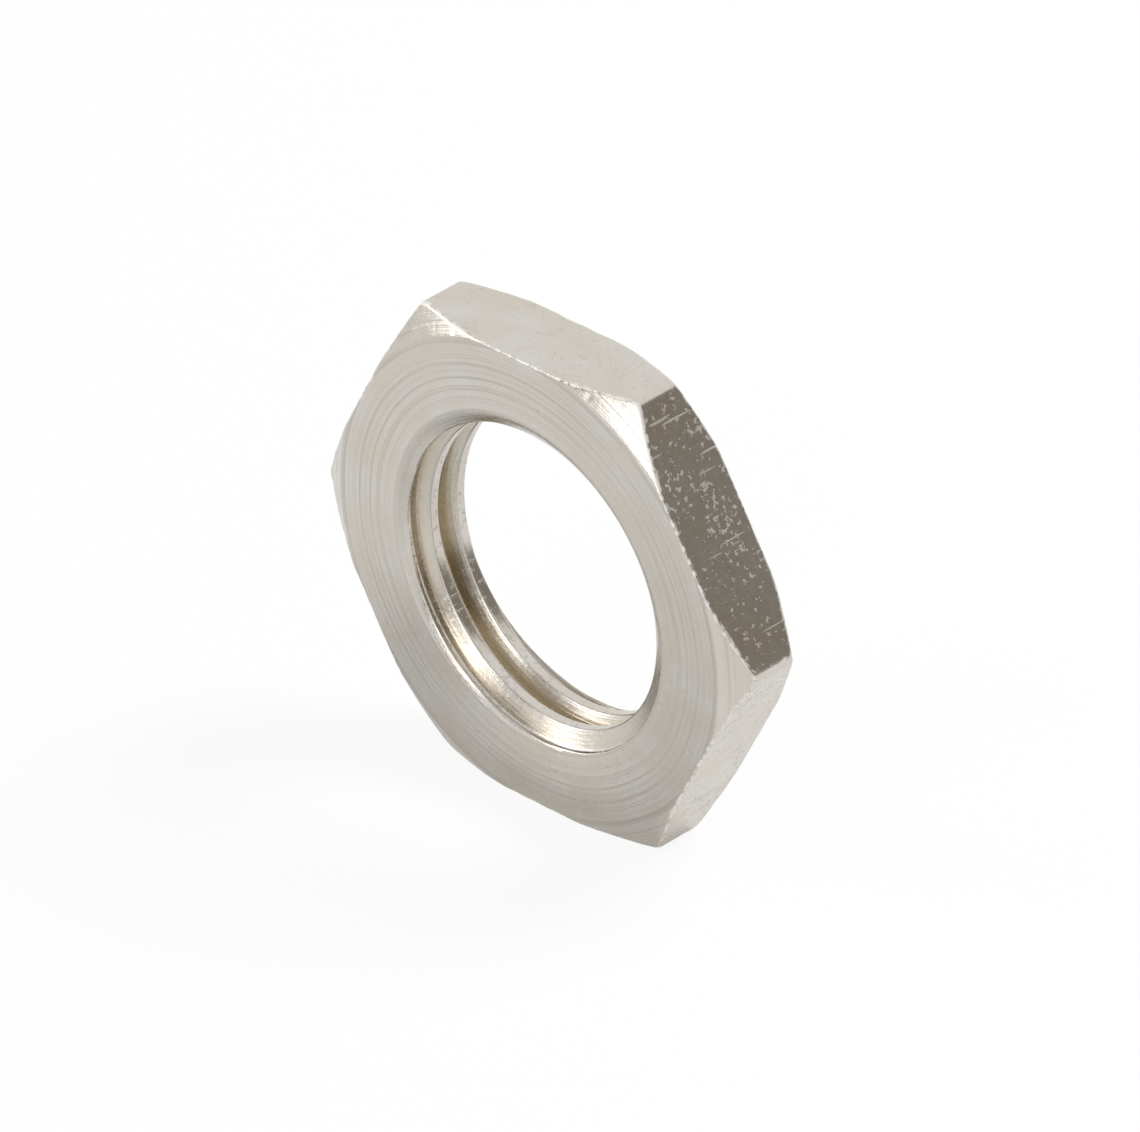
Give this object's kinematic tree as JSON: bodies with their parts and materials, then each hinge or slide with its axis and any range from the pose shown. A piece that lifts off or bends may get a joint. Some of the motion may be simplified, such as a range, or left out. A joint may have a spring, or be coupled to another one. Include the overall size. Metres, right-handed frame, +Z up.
{
  "type": "hex nut",
  "caption": "Thin hexagon lock nut with a fine right-hand metric thread, countersunk mouths and chamfered corners on both faces.",
  "frame": {"origin": "on the thread's axis, half way through the nut's thickness", "axes": "+Z up with the nut standing on one flat, Y along the thread's axis with the front face looking along -Y, +X to the right across two corners"},
  "size_m": [0.016, 0.0024, 0.014],
  "materials": {
    "nickel_plated_brass": "turned and nickel plated, satin"
  },
  "bodies": {
    "root": {"nut_body": "nickel_plated_brass"}
  },
  "joints": []
}
